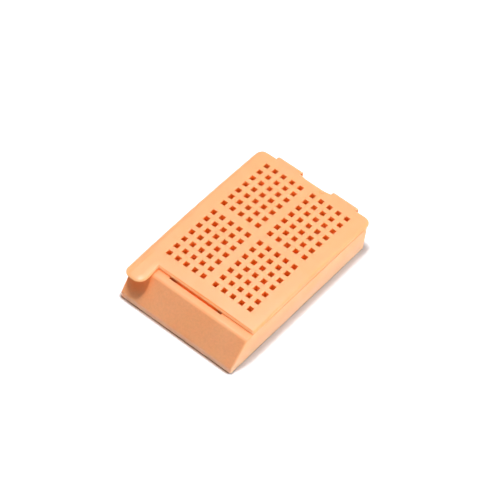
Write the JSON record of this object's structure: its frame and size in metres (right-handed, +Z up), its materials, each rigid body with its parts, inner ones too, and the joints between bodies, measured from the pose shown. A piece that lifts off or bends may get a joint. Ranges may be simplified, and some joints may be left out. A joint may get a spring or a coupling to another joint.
{
  "type": "tissue cassette",
  "caption": "Shallow perforated plastic box for tissue samples, with crossed dividers inside, a sloped writing face, and a hinged snap lid with a thumb tab.",
  "frame": {"origin": "middle of the footprint's bounding box, on the surface the cassette stands on", "axes": "+Z up through the lid, +Y along the length from the sloped writing face to the hinge, +X to the right as seen from the writing face"},
  "size_m": [0.028, 0.0424, 0.0075],
  "materials": {
    "tray_plastic": "peach acetal, fine matt, a little translucent",
    "lid_plastic": "peach acetal, fine matt, a little translucent"
  },
  "bodies": {
    "tray": {"base": "tray_plastic"},
    "cover": {"lid": "lid_plastic"}
  },
  "joints": [
    {"name": "hinge", "type": "hinge", "parent": "tray", "child": "cover", "pos_m": [0, 0.02017, 0.007], "axis": [-1, 0, 0], "range_deg": [0, 170]}
  ]
}
